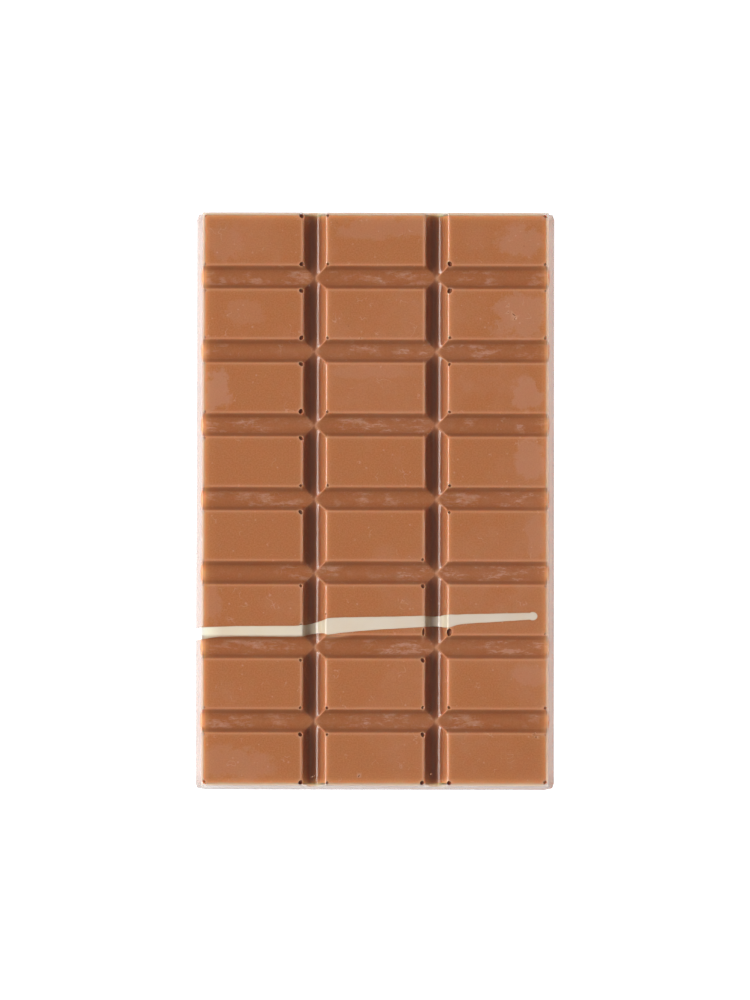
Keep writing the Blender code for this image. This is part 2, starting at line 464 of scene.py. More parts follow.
# Masks of the streak: its thin edges, and painted shade on its slopes in the grooves
STREAK_EDGE = 0.45 * MM
STEEP_START, STEEP_FULL = 0.35, 0.80


def smooth_between(x, stations):
    """Middle line and half width between two stations, by an even cubic through all of them."""
    last = len(stations) - 1
    index = max(i for i in range(last) if stations[i][0] <= x or i == 0)
    around = [stations[min(max(index + step, 0), last)] for step in (-1, 0, 1, 2)]
    span = around[2][0] - around[1][0]
    share = (x - around[1][0]) / span
    found = []
    for k in (1, 2):
        before, start, end, after = (station[k] for station in around)
        out = (end - before) / max(around[2][0] - around[0][0], 1e-9) * span
        into = (after - start) / max(around[3][0] - around[1][0], 1e-9) * span
        found.append(
            start * (1 + 2 * share) * (1 - share) ** 2 + out * share * (1 - share) ** 2
            + end * share ** 2 * (3 - 2 * share) - into * share ** 2 * (1 - share)
        )
    return found


def streak_span(x):
    """Lower and upper edge of the streak at one place along it."""
    into_end = x - STREAK_END[0]
    round_half = math.sqrt(max(STREAK_END_RADIUS ** 2 - into_end ** 2, 0.0))
    last_x, last_y, last_half = STREAK_STATIONS[-1]
    if x < last_x:
        middle, half = smooth_between(x, STREAK_STATIONS)
    else:
        share = min((x - last_x) / (STREAK_END[0] - last_x), 1.0)
        middle = last_y + (STREAK_END[1] - last_y) * share
        neck = last_half * (1 - STREAK_PINCH * share) if into_end < 0 else 0.0
        half = max(neck, round_half)
    low_wobble = noise.noise(Vector((x / WOBBLE_LENGTH, LOW_WOBBLE, 0)))
    high_wobble = noise.noise(Vector((x / WOBBLE_LENGTH, HIGH_WOBBLE, 0)))
    calm = min(1.0, half / STREAK_END_RADIUS)
    low = middle - half + STREAK_WOBBLE * low_wobble * calm
    high = middle + half + STREAK_WOBBLE * high_wobble * calm
    return low, high


def streak_columns():
    """Mesh lines of the streak: rings of the left side from the back up, then places along X."""
    rings = [("ring", ring) for ring in range(RIM_STEPS + SIDE_STEPS, 0, -1)]
    face = [x for x in face_lines(COLUMN_GROOVES, HALF_FACE_X) if x < STREAK_STATIONS[-1][0]]
    places = []
    for low, high in zip(face, face[1:]):
        count = math.ceil((high - low) / STREAK_STEP)
        places += [low + (high - low) * k / count for k in range(count)]
    start = face[-1]
    end = STREAK_END[0]
    neck = end - STREAK_END_RADIUS * TIP_START
    places += [start + (neck - start) * k / NECK_STEPS for k in range(NECK_STEPS + 1)]
    for k in range(1, TIP_STEPS + 1):
        angle = math.acos(-TIP_START) * (1 - k / TIP_STEPS)
        places.append(end + STREAK_END_RADIUS * math.cos(angle) * TIP_CLOSE)
    return rings + [("face", x) for x in places]


def make_streak():
    """The streak as a thin skin that follows the face, the grooves and the left side."""
    columns = streak_columns()
    streak = new_grid("white_chocolate_streak", len(columns), STREAK_ROWS + 1)
    bpy.ops.object.mode_set(mode="EDIT")
    shape = bmesh.from_edit_mesh(streak.data)
    across = {}
    for vertex, row, column in grid_order(shape, len(columns)):
        kind, value = columns[column]
        share = 2 * row / STREAK_ROWS - 1
        share = math.sin(share * math.pi / 2) * STREAK_BUNCH + share * (1 - STREAK_BUNCH)
        low, high = streak_span(-HALF_FACE_X if kind == "ring" else value)
        y = (low + high) / 2 + (high - low) / 2 * share
        if kind == "ring":
            vertex.co = side_point(-HALF_FACE_X, y, value, True, False)
        else:
            vertex.co = face_point(value, y)
        across[vertex] = share
    bmesh.ops.recalc_face_normals(shape, faces=shape.faces)
    shape.normal_update()
    if sum(face.normal.z for face in shape.faces) < 0:
        bmesh.ops.reverse_faces(shape, faces=shape.faces)
        shape.normal_update()
    for vertex, share in across.items():
        height = STREAK_LIFT - (STREAK_LIFT + STREAK_TUCK) * abs(share) ** STREAK_CROWN
        vertex.co += vertex.normal * height
    bmesh.update_edit_mesh(streak.data)
    bpy.ops.object.mode_set(mode="OBJECT")
    return streak


def set_mask(item, name, values):
    mask = item.data.attributes.new(name, "FLOAT", "POINT")
    mask.data.foreach_set("value", values)


def paint_streak(streak):
    """Mark the streak's thin edges, and paint shade on its slopes inside the grooves."""
    edges, wall_shades = [], []
    for vertex in streak.data.vertices:
        low, high = streak_span(max(vertex.co.x, -HALF_FACE_X))
        inside = (high - low) / 2 - abs(vertex.co.y - (low + high) / 2)
        edges.append(between(inside, STREAK_EDGE, 0.0))
        in_groove = vertex.co.x > -HALF_FACE_X + MM
        wall_shades.append(between(abs(vertex.normal.x), STEEP_START, STEEP_FULL) if in_groove else 0.0)
    set_mask(streak, "edge", edges)
    set_mask(streak, "wall_shade", wall_shades)


# Painted glow on the rims and painted highlights on the lips and ridges: how strong each is, and how
# fast it fades
LEFT_RIM, RIGHT_RIM, END_RIM = 1.0, 0.65, 0.9
OUTER_RIM_FADE = 0.45 * MM
EAST_GLOW = 0.30
EAST_GLOW_FADE, LIP_EDGE_FADE = 0.35 * MM, 0.08 * MM
WEST_LIP, EAST_LIP, ROW_LIP = 0.70, 0.42, 0.45
LIP_FADE, LIP_RIM_FADE = 0.25 * MM, 0.16 * MM
WEST_RIDGE, EAST_RIDGE = 0.15, 0.65
RIDGE_FADE = 0.10 * MM
RIM_DEPTH = 0.20 * MM
SIDE_FADE = 0.25 * MM

# Painted shade on the groove walls: strength, and the upward share of the normal where each starts
# and is full
WEST_WALL, WEST_WALL_TURN = 0.10, (0.93, 0.48)
ROW_WALL, ROW_WALL_TURN = 0.45, (0.80, 0.45)
EAST_WALL, EAST_WALL_TOP, EAST_WALL_TURN = 0.95, 0.18, (0.98, 0.85)
EAST_WALL_FULL, EAST_WALL_END = 1.25 * MM, 2.20 * MM
# Painted shade on the groove floors: only the deepest part of a column groove, and a weaker share of
# the depth in a row groove
COLUMN_FLOOR_POWER = 8
ROW_FLOOR = 0.38

# Bloom in the row grooves, as a share of their depth
BLOOM_START, BLOOM_FULL = 0.60, 0.85
BORDER_WIDTH = 0.05 * MM
BACK_LEVEL = 0.02 * MM

# Air bubbles: painted shade inside, weaker near the side borders, and a painted highlight ring round
# the mouth
HOLLOW_FADE = 0.16 * MM
HOLLOW_START = 0.02 * MM
HOLLOW_REACH, RING_REACH = 1.02, 2.5
FULL_HOLLOW = 0.42 * MM
OPEN_HOLLOW = 1.5 * MM
BORDER_STRIP = 1.2 * MM
BORDER_HOLLOW = 0.3
MOUTH_HIGHLIGHT = 0.75
MOUTH_FADE = 0.16 * MM
CELL = 4 * MM


def outer_glow(position, half_face, low_weight, high_weight):
    """Painted glow near the two outer rims in one direction, by weight."""
    weight = high_weight if position > 0 else low_weight
    return weight * math.exp(-max(half_face - abs(position), 0.0) / OUTER_RIM_FADE)


def lip_highlight_share(offset, low_weight, high_weight):
    """Painted highlight near the lips of a groove, from its offset and by weight."""
    weight = high_weight if offset > 0 else low_weight
    fade = LIP_RIM_FADE if abs(offset) > LIP_REACH else LIP_FADE
    return weight * math.exp(-abs(abs(offset) - LIP_REACH) / fade)


def outside_groove(offset):
    """1 outside a groove, fading out inside it, so that no lip runs across its floor."""
    return math.exp(-max(LIP_START - abs(offset), 0) / LIP_FADE)


def painted_lip_highlights(across, along):
    """Painted highlights on the lips of the grooves, and on the ridges where two grooves meet."""
    glow_x = lip_highlight_share(across, WEST_LIP, EAST_LIP)
    glow_y = lip_highlight_share(along, ROW_LIP, ROW_LIP)
    lip = max(glow_x * outside_groove(along), glow_y * outside_groove(across))
    drop_x, drop_y = groove_drop(across)[0], groove_drop(along)[0]
    if min(drop_x, drop_y) > RIDGE_FADE:
        ridge = EAST_RIDGE if across > 0 else WEST_RIDGE
        lip = max(lip, ridge * math.exp(-abs(drop_x - drop_y) / RIDGE_FADE))
    return lip


def painted_rim_glow(x, y, across, along):
    """Painted glow on the outer rims, and painted warm glow along the east lip of a column groove.
    """
    border_x = outer_glow(x, HALF_FACE_X, LEFT_RIM, RIGHT_RIM)
    border_y = outer_glow(y, HALF_FACE_Y, END_RIM, END_RIM)
    beyond = max(across - LIP_REACH, 0.0)
    within = max(LIP_REACH - across, 0.0)
    east_glow = EAST_GLOW * math.exp(-beyond / EAST_GLOW_FADE - within / LIP_EDGE_FADE)
    return max(border_x, border_y, east_glow * outside_groove(along))


def painted_wall_shade(across, in_column, up):
    """Painted shade on the groove walls, by how far up their normal points."""
    if not in_column:
        return ROW_WALL * between(up, *ROW_WALL_TURN)
    if across < 0:
        return WEST_WALL * between(up, *WEST_WALL_TURN)
    top = between(across, EAST_WALL_FULL, EAST_WALL_END)
    return (EAST_WALL + (EAST_WALL_TOP - EAST_WALL) * top) * between(up, *EAST_WALL_TURN)


def moulded_masks(vertex):
    """Painted rim glow, painted lip highlights, painted shade on the groove walls and floors, bloom
    and side, for one point of the bar.
    """
    x, y, z = vertex.co
    if z < BACK_LEVEL:
        return 0.0, 0.0, 0.0, 0.0, 0.0, 0.0
    across, along = nearest(x, COLUMN_GROOVES), nearest(y, ROW_GROOVES)
    drop = face_drop(x, y)
    drop_x, drop_y = groove_drop(across)[0], groove_drop(along)[0]
    in_column = drop_x > drop_y
    # Painted shade: the groove mask darkens the floors, and the wall mask below darkens the walls
    groove = min(drop / GROOVE_DEPTH, 1.0)
    groove = groove ** COLUMN_FLOOR_POWER if in_column else ROW_FLOOR * groove
    bloom = 0.0 if in_column else between(drop_y / GROOVE_DEPTH, BLOOM_START, BLOOM_FULL)
    wall_shade = painted_wall_shade(across, in_column, vertex.normal.z)
    below = THICKNESS - drop - z
    outer = abs(x) > HALF_FACE_X - BORDER_WIDTH or abs(y) > HALF_FACE_Y - BORDER_WIDTH
    down = math.exp(-max(below - RIM_DEPTH, 0.0) / SIDE_FADE) if outer else 1.0
    side = between(below, 0.0, MM) if outer else 0.0
    rim = painted_rim_glow(x, y, across, along)
    return rim * down, painted_lip_highlights(across, along) * down, wall_shade, groove * down, bloom * down, side


def hollow_masks(x, y, z, near):
    """Painted shade by how deep a point lies in an air bubble, and a painted highlight ring by how
    near its mouth it is.
    """
    sunk = THICKNESS - face_drop(x, y) - z
    hollow, ring = 0.0, 0.0
    for middle_x, middle_y, long_half, short_half, turn in near:
        offset_x, offset_y = x - middle_x, y - middle_y
        along = (offset_x * math.cos(turn) + offset_y * math.sin(turn)) / long_half
        aside = (offset_y * math.cos(turn) - offset_x * math.sin(turn)) / short_half
        reach = math.hypot(along, aside)
        if reach < HOLLOW_REACH and sunk > HOLLOW_START and long_half < OPEN_HOLLOW:
            hollow = min(1.0, sunk / HOLLOW_FADE) * min(1.0, long_half / FULL_HOLLOW)
            if abs(middle_x) > HALF_FACE_X - BORDER_STRIP:
                hollow *= BORDER_HOLLOW
        elif reach < RING_REACH:
            from_mouth = max(reach - 1.0, 0.0) * short_half
            ring = max(ring, MOUTH_HIGHLIGHT * math.exp(-from_mouth / MOUTH_FADE))
    return hollow, ring


def hollows_by_cell():
    """The hollows in or next to each cell of a square grid over the face."""
    cells = {}
    for hollow in HOLLOWS:
        column, row = round(hollow[0] / CELL), round(hollow[1] / CELL)
        for step_x in (-1, 0, 1):
            for step_y in (-1, 0, 1):
                cells.setdefault((column + step_x, row + step_y), []).append(hollow)
    return cells


def paint_bar(bar):
    """Give every point of the bar its masks."""
    cells = hollows_by_cell()
    names = ("rim", "lip", "wall_shade", "groove", "bloom", "side", "hollow")
    rows = []
    for vertex in bar.data.vertices:
        x, y, z = vertex.co
        rim, lip, wall_shade, groove, bloom, side = moulded_masks(vertex)
        hollow, ring = hollow_masks(x, y, z, cells.get((round(x / CELL), round(y / CELL)), ()))
        # The painted highlight ring round a bubble's mouth joins the painted lip highlights
        rows.append((rim, max(lip, ring) * (1 - hollow), wall_shade, groove, bloom, side, hollow))
    for name, values in zip(names, zip(*rows)):
        set_mask(bar, name, values)


# Shader nodes
class Nodes:
    """A node tree being put together, with short ways to add and link its nodes."""

    def __init__(self, tree):
        self.nodes = tree.nodes
        self.links = tree.links

    def plug(self, socket, value):
        """Feed a socket from another node's output, or set its value."""
        if isinstance(value, bpy.types.NodeSocket):
            self.links.new(value, socket)
        else:
            socket.default_value = value

    def plug_all(self, node, inputs):
        """Plug inputs by name, with _ for a space."""
        for label, value in inputs.items():
            self.plug(node.inputs[label.replace("_", " ")], value)

    def add(self, kind, **inputs):
        node = self.nodes.new(kind)
        self.plug_all(node, inputs)
        return node

    def math(self, operation, first, second=0.0):
        node = self.nodes.new("ShaderNodeMath")
        node.operation = operation
        self.plug(node.inputs[0], first)
        self.plug(node.inputs[1], second)
        return node.outputs[0]

    def vector(self, operation, first, second=(0.0, 0.0, 0.0)):
        node = self.nodes.new("ShaderNodeVectorMath")
        node.operation = operation
        self.plug(node.inputs[0], first)
        self.plug(node.inputs[1], second)
        return node.outputs

    def ramp(self, value, low, high, out_low=0.0, out_high=1.0):
        node = self.add(
            "ShaderNodeMapRange", Value=value, From_Min=low, From_Max=high,
            To_Min=out_low, To_Max=out_high)
        return node.outputs["Result"]

    def noise(self, vector, scale, detail, breakup=0.5):
        node = self.add(
            "ShaderNodeTexNoise", Vector=vector, Scale=scale, Detail=detail, Roughness=breakup)
        return node.outputs[0]

    def axes(self, vector):
        return self.add("ShaderNodeSeparateXYZ", Vector=vector).outputs


class Effect(Nodes):
    """A shader group being put together. Its inputs are given with their usual values."""

    def __init__(self, name, **values):
        self.group = bpy.data.node_groups.new(name, "ShaderNodeTree")
        super().__init__(self.group)
        for label, value in {"Vector": (0.0, 0.0, 0.0), **values}.items():
            kind = "NodeSocketVector" if isinstance(value, tuple) else "NodeSocketFloat"
            self.socket(label, "INPUT", kind).default_value = value
        self.given = self.nodes.new("NodeGroupInput").outputs

    def socket(self, label, way, kind):
        return self.group.interface.new_socket(name=label, in_out=way, socket_type=kind)

    def give(self, **outputs):
        """Close the group with its outputs."""
        for label in outputs:
            self.socket(label, "OUTPUT", "NodeSocketFloat")
        self.plug_all(self.nodes.new("NodeGroupOutput"), outputs)
        return self.group


def cloudy_patches():
    """Soft patches, such as haze and bloom."""
    effect = Effect("cloudy_patches", Scale=90.0, Low=0.5, High=0.6, Breakup=0.6)
    given = effect.given
    cloud = effect.noise(given["Vector"], given["Scale"], 6.0, given["Breakup"])
    level = effect.add(
        "ShaderNodeMapRange", Value=cloud, From_Min=given["Low"], From_Max=given["High"])
    level.interpolation_type = "SMOOTHSTEP"
    return effect.give(Mask=level.outputs["Result"])


def ragged_patch():
    """One filmy patch around a place of the face, with a ragged edge."""
    effect = Effect("ragged_patch", Centre=(0.0, 0.0, 0.0), Half=(1.0, 1.0, 1.0), Ragged=0.5)
    given = effect.given
    offset = effect.vector("SUBTRACT", given["Vector"], given["Centre"])[0]
    share = effect.vector("DIVIDE", offset, given["Half"])[0]
    reach = effect.vector("LENGTH", share)["Value"]
    torn = effect.math("ADD", reach, effect.math("MULTIPLY", given["Ragged"], 0.9))
    return effect.give(Mask=effect.ramp(torn, 1.12, 1.50, 1.0, 0.0))


def tiny_specks():
    """Scattered specks of uneven size, some of the cells left empty."""
    effect = Effect("tiny_specks", Scale=600.0, Size=0.12, Share=0.3)
    given = effect.given
    cells = effect.add("ShaderNodeTexVoronoi", Vector=given["Vector"], Scale=given["Scale"])
    chance = effect.add("ShaderNodeSeparateColor", Color=cells.outputs["Color"]).outputs
    size = effect.math("MULTIPLY", chance["Red"], given["Size"])
    inside = effect.ramp(cells.outputs["Distance"], 0.0, size, 1.0, 0.0)
    keep = effect.math("LESS_THAN", chance["Green"], given["Share"])
    return effect.give(Mask=effect.math("MULTIPLY", inside, keep))


def fine_scuffs():
    """Hair-thin curved rubs that come and go."""
    effect = Effect("fine_scuffs", Scale=220.0, Width=0.03, Share=0.58)
    given = effect.given
    bend = effect.noise(given["Vector"], given["Scale"], 2.0)
    off_line = effect.math("ABSOLUTE", effect.math("SUBTRACT", bend, 0.5))
    line = effect.ramp(off_line, 0.0, given["Width"], 1.0, 0.0)
    elsewhere = effect.vector("ADD", given["Vector"], (0.37, 0.11, 0.0))[0]
    gap = effect.noise(elsewhere, given["Scale"], 1.0)
    keep = effect.ramp(gap, given["Share"], effect.math("ADD", given["Share"], 0.06))
    return effect.give(Mask=effect.math("MULTIPLY", line, keep))


def moulded_skin():
    """Fine grain and slow waves of the moulded surface, as a tone and as a height."""
    effect = Effect("moulded_skin", Grain=3200.0, Waves=260.0)
    given = effect.given
    grain = effect.noise(given["Vector"], given["Grain"], 3.0)
    waves = effect.noise(given["Vector"], given["Waves"], 2.0)
    height = effect.math("ADD", effect.math("MULTIPLY", grain, 0.12), waves)
    return effect.give(Tone=grain, Height=height)


PATCHES = cloudy_patches()
RAGGED = ragged_patch()
SPECKS = tiny_specks()
SCUFFS = fine_scuffs()
SKIN = moulded_skin()


class Finish(Nodes):
    """A material being put together around its Principled shader."""

    def __init__(self, name):
        self.material = bpy.data.materials.new(name)
        self.material.use_nodes = True
        super().__init__(self.material.node_tree)
        self.shader = self.nodes["Principled BSDF"]
        self.place = self.nodes.new("ShaderNodeTexCoord").outputs["Object"]

    def set(self, **inputs):
        """Set or feed the shader's own inputs, named with _ for a space."""
        self.plug_all(self.shader, inputs)

    def effect(self, group, output="Mask", **inputs):
        """An output of a shader group, placed on Object coordinates unless told otherwise."""
        node = self.nodes.new("ShaderNodeGroup")
        node.node_tree = group
        self.plug_all(node, {"Vector": self.place, **inputs})
        return node.outputs[output]

    def mask(self, name):
        """A mask painted on the mesh."""
        node = self.nodes.new("ShaderNodeAttribute")
        node.attribute_name = name
        return node.outputs["Fac"]

    def mix(self, share, first, second):
        """A colour between two others."""
        node = self.nodes.new("ShaderNodeMix")
        node.data_type = "RGBA"
        self.plug(node.inputs[0], share)
        for socket, colour in ((node.inputs[6], first), (node.inputs[7], second)):
            self.plug(socket, (*colour, 1.0) if isinstance(colour, tuple) else colour)
        return node.outputs[2]

    def lay(self, colour, other, mask, strength=1.0):
        """A colour with another laid over it where a mask is."""
        return self.mix(self.math("MULTIPLY", mask, strength), colour, other)

    def blend(self, share, first, second):
        """A number between two others."""
        node = self.nodes.new("ShaderNodeMix")
        for socket, value in zip((node.inputs[0], *node.inputs[2:4]), (share, first, second)):
            self.plug(socket, value)
        return node.outputs[0]

    def stretched(self, scale):
        return self.add("ShaderNodeMapping", Vector=self.place, Scale=scale).outputs["Vector"]

    def bump(self, height, distance, strength):
        node = self.add("ShaderNodeBump", Height=height, Distance=distance, Strength=strength)
        self.set(Normal=node.outputs["Normal"])


FACE_LIGHT = (0.476, 0.184, 0.069)
FACE_DARK = (0.414, 0.150, 0.051)
HAZE_PINK = (0.530, 0.262, 0.160)
# Painted shade for the groove walls and floors, and also the colour of the faint upright lines on
# the sides
SHADE_AND_SIDE_LINE_BROWN = (0.245, 0.081, 0.034)
BLOOM_GREY = (0.640, 0.400, 0.290)
# Painted glow on the rims, stronger on the left
PAINTED_RIM_GLOW = (1.000, 0.440, 0.170)
# Painted highlight on the lips, the ridges and the mouths of the air bubbles
PAINTED_LIP_HIGHLIGHT = (0.660, 0.350, 0.200)
SPECK_LIGHT = (0.640, 0.370, 0.240)
SPECK_DARK = (0.250, 0.090, 0.040)
# Painted shade inside the air bubbles
HOLLOW_SHADE_BROWN = (0.230, 0.058, 0.020)
# Sides painted darker on the left and lighter on the right: painted shade and painted light
SIDE_LEFT = (0.240, 0.098, 0.042)
SIDE_RIGHT = (0.430, 0.172, 0.072)
SIDE_SPAN = (-36 * MM, 36 * MM)
CHOCOLATE_IOR = 1.45

# How strongly each layer of the milk chocolate shows
HAZE_SHARE, SCUFF_SHARE = 0.26, 0.45
LIGHT_SPECK_SHARE, DARK_SPECK_SHARE = 0.55, 0.80
BLOOM_SHARE, SIDE_LINE_SHARE = 0.34, 0.30

# Roughness and gloss of the face, and what its parts add or take away
FACE_ROUGH, HAZE_ROUGH = 0.165, 0.26
BLOOM_ROUGH, SIDE_SMOOTH, GROOVE_SMOOTH = 0.12, 0.05, 0.05
FACE_GLOSS, RIM_GLOSS = 0.5, 0.2
LIP_GLOSS, GROOVE_DULL, HOLLOW_DULL = 0.5, 0.2, 0.35


# Filmy patches on the face: middle and half sizes in millimetres, and strength
HAZE_PATCHES = (
    (-32.9, 22.4, 2.8, 3.8, 0.50),
    (-31.5, 53.2, 3.6, 3.8, 0.25),
    (-27.3, 38.3, 3.8, 2.4, 0.20),
    (-33.6, -22.0, 1.6, 3.6, 0.30),
    (-28.5, -54.8, 6.5, 3.4, 0.30),
    (2.0, 56.2, 9.0, 2.2, 0.30),
    (-1.0, 26.3, 7.4, 1.3, 0.25),
    (29.5, 53.5, 4.2, 3.0, 0.40),
    (29.5, 38.0, 5.2, 4.3, 0.42),
    (31.2, 21.7, 3.0, 3.0, 0.48),
    (32.2, 8.3, 2.7, 3.9, 0.45),
    (33.0, -7.5, 1.8, 4.0, 0.30),
    (31.8, -36.3, 3.0, 2.2, 0.35),
)


def haze_film(finish, fine):
    """The filmy patches together, each torn at its edge by a fine noise."""
    film = 0.0
    for x, y, half_x, half_y, strength in HAZE_PATCHES:
        patch = finish.effect(
            RAGGED, Ragged=fine, Centre=(x * MM, y * MM, THICKNESS),
            Half=(half_x * MM, half_y * MM, 4 * MM))
        film = finish.math("MAXIMUM", film, finish.math("MULTIPLY", patch, strength))
    return film


def groove_bloom(finish):
    """Pale streaky bloom on the floors of the row grooves."""
    streaky = finish.effect(
        PATCHES, Vector=finish.stretched((0.8, 2.4, 1.0)),
        Scale=300.0, Low=0.46, High=0.62, Breakup=0.75)
    patchy = finish.effect(PATCHES, Scale=110.0, Low=0.44, High=0.56, Breakup=0.6)
    return finish.math("MULTIPLY", finish.math("MULTIPLY", streaky, patchy), finish.mask("bloom"))


def side_tone(finish):
    """Colour of the sides, darker on the left as painted shade and lighter on the right as painted
    light, with faint upright lines.
    """
    lines = finish.effect(
        PATCHES, Vector=finish.stretched((22.0, 22.0, 900.0)),
        Scale=1.0, Low=0.35, High=0.65, Breakup=0.5)
    across = finish.ramp(finish.axes(finish.place)["X"], *SIDE_SPAN)
    return finish.lay(finish.mix(across, SIDE_LEFT, SIDE_RIGHT), SHADE_AND_SIDE_LINE_BROWN, lines, SIDE_LINE_SHARE)


def milk_chocolate():
    """Milk chocolate: grain, pink haze, bloom in the grooves, walls, floors and air bubbles darkened
    by painted shade, sides with painted shade and light, and rims and lips lightened by painted glow
    and highlights.
    """
    finish = Finish("milk_chocolate")
    rim, lip, hollow = finish.mask("rim"), finish.mask("lip"), finish.mask("hollow")
    groove, side = finish.mask("groove"), finish.mask("side")
    tone = finish.ramp(finish.effect(SKIN, "Tone"), 0.35, 0.65)
    broad = finish.effect(PATCHES, Scale=38.0, Low=0.50, High=0.59, Breakup=0.55)
    fine = finish.effect(PATCHES, Scale=260.0, Low=0.40, High=0.72, Breakup=0.75)
    haze = finish.math("MULTIPLY", broad, finish.ramp(fine, 0, 1, 0.35, 1.0))
    scuffs = finish.effect(SCUFFS, Scale=300.0, Width=0.012, Share=0.60)
    light = finish.effect(SPECKS, Scale=1100.0, Size=0.34, Share=0.14)
    dark = finish.effect(SPECKS, Scale=420.0, Size=0.14, Share=0.06)
    bloom = groove_bloom(finish)

    colour = finish.mix(tone, FACE_DARK, FACE_LIGHT)
    colour = finish.lay(colour, HAZE_PINK, haze, HAZE_SHARE)
    colour = finish.lay(colour, HAZE_PINK, haze_film(finish, fine))
    colour = finish.lay(colour, SPECK_LIGHT, scuffs, SCUFF_SHARE)
    colour = finish.lay(colour, SPECK_LIGHT, light, LIGHT_SPECK_SHARE)
    colour = finish.lay(colour, SPECK_DARK, dark, DARK_SPECK_SHARE)
    # Painted shade on the groove walls and floors
    colour = finish.lay(colour, SHADE_AND_SIDE_LINE_BROWN, finish.math("MAXIMUM", finish.mask("wall_shade"), groove))
    colour = finish.lay(colour, BLOOM_GREY, bloom, BLOOM_SHARE)
    colour = finish.lay(colour, side_tone(finish), side)
    # Painted glow on the rims
    colour = finish.lay(colour, PAINTED_RIM_GLOW, rim)
    # Painted highlights on the lips, ridges and bubble mouths
    colour = finish.lay(colour, PAINTED_LIP_HIGHLIGHT, lip)
    # Painted shade inside the air bubbles
    colour = finish.lay(colour, HOLLOW_SHADE_BROWN, hollow)

    rough = finish.ramp(haze, 0, 1, FACE_ROUGH, HAZE_ROUGH)
    rough = finish.math("ADD", rough, finish.ramp(bloom, 0, 1, 0, BLOOM_ROUGH))
    rough = finish.math("SUBTRACT", rough, finish.ramp(side, 0, 1, 0, SIDE_SMOOTH))
    rough = finish.math("SUBTRACT", rough, finish.ramp(groove, 0.2, 1, 0, GROOVE_SMOOTH))
    gloss = finish.ramp(rim, 0, 1, FACE_GLOSS, RIM_GLOSS)
    gloss = finish.math("SUBTRACT", gloss, finish.ramp(groove, 0.3, 0.7, 0, GROOVE_DULL))
    gloss = finish.math("ADD", gloss, finish.ramp(lip, 0, 1, 0, LIP_GLOSS))
    gloss = finish.math("SUBTRACT", gloss, finish.ramp(hollow, 0, 1, 0, HOLLOW_DULL))
    finish.bump(finish.effect(SKIN, "Height"), 0.012 * MM, 0.6)
    finish.set(
        Base_Color=colour, Roughness=rough, Specular_IOR_Level=gloss, IOR=CHOCOLATE_IOR,
        Subsurface_Weight=1.0, Subsurface_Radius=(1.0, 0.45, 0.25), Subsurface_Scale=0.75 * MM)
    return finish.material


# Painted light on the streak's left end, near the lit left side
CREAM_PAINTED_LIGHT = (0.960, 0.915, 0.755)
CREAM_LEFT = (0.750, 0.672, 0.540)
CREAM_RIGHT = (0.680, 0.590, 0.500)
# Painted shade on the streak's slopes in the grooves
CREAM_SHADE = (0.560, 0.490, 0.370)
CREAM_THIN = (0.640, 0.430, 0.260)
GLOW_SPAN, GREYING_SPAN = (-35 * MM, -31.5 * MM), (-29 * MM, 20 * MM)
THIN_CLOUD_SHARE, THIN_EDGE_SHARE, THIN_DOT_SHARE = 0.16, 0.75, 0.40
CREAM_ROUGH, CREAM_CLOUD_ROUGH = 0.17, 0.24


def white_chocolate():
    """White chocolate: cream, greyer to the right, with brown showing through at its edge, painted
    light at its left end and painted shade on its slopes in the grooves.
    """
    finish = Finish("white_chocolate")
    x = finish.axes(finish.place)["X"]
    near_side = finish.ramp(x, *GLOW_SPAN)
    along = finish.ramp(x, *GREYING_SPAN)
    cloud = finish.effect(PATCHES, Scale=160.0, Low=0.40, High=0.70, Breakup=0.5)
    edge = finish.math("POWER", finish.mask("edge"), 2.0)
    dots = finish.effect(SPECKS, Scale=500.0, Size=0.20, Share=0.05)

    # Painted light on the streak's left end
    colour = finish.mix(near_side, CREAM_PAINTED_LIGHT, finish.mix(along, CREAM_LEFT, CREAM_RIGHT))
    # Painted shade on the streak's slopes in the grooves
    colour = finish.lay(colour, CREAM_SHADE, finish.mask("wall_shade"))
    colour = finish.lay(colour, CREAM_THIN, cloud, THIN_CLOUD_SHARE)
    colour = finish.lay(colour, CREAM_THIN, edge, THIN_EDGE_SHARE)
    colour = finish.lay(colour, CREAM_THIN, dots, THIN_DOT_SHARE)
    finish.bump(finish.effect(SKIN, "Height"), 0.010 * MM, 0.5)
    rough = finish.ramp(cloud, 0, 1, CREAM_ROUGH, CREAM_CLOUD_ROUGH)
    finish.set(
        Base_Color=colour, Roughness=rough, IOR=CHOCOLATE_IOR,
        Subsurface_Weight=1.0, Subsurface_Radius=(1.0, 0.95, 0.8), Subsurface_Scale=0.3 * MM)
    return finish.material


# Crumbs on the face: place and half length in millimetres, and turn in degrees
CRUMBS = (
    (29.02, 37.30, 0.32, 56),
    (32.72, -48.55, 0.36, 40),
    (33.20, -48.30, 0.20, 120),
    (11.62, -56.80, 0.22, 75),
    (-12.80, -57.40, 0.18, 10),
    (-12.45, -57.20, 0.10, 60),
)
CRUMB_WIDTH, CRUMB_HEIGHT, CRUMB_LIFT = 0.55, 0.38, 0.15
CRUMB_LUMP, CRUMB_LUMP_LENGTH = 0.06 * MM, 0.16 * MM
CRUMB_LIGHT = (0.640, 0.360, 0.220)


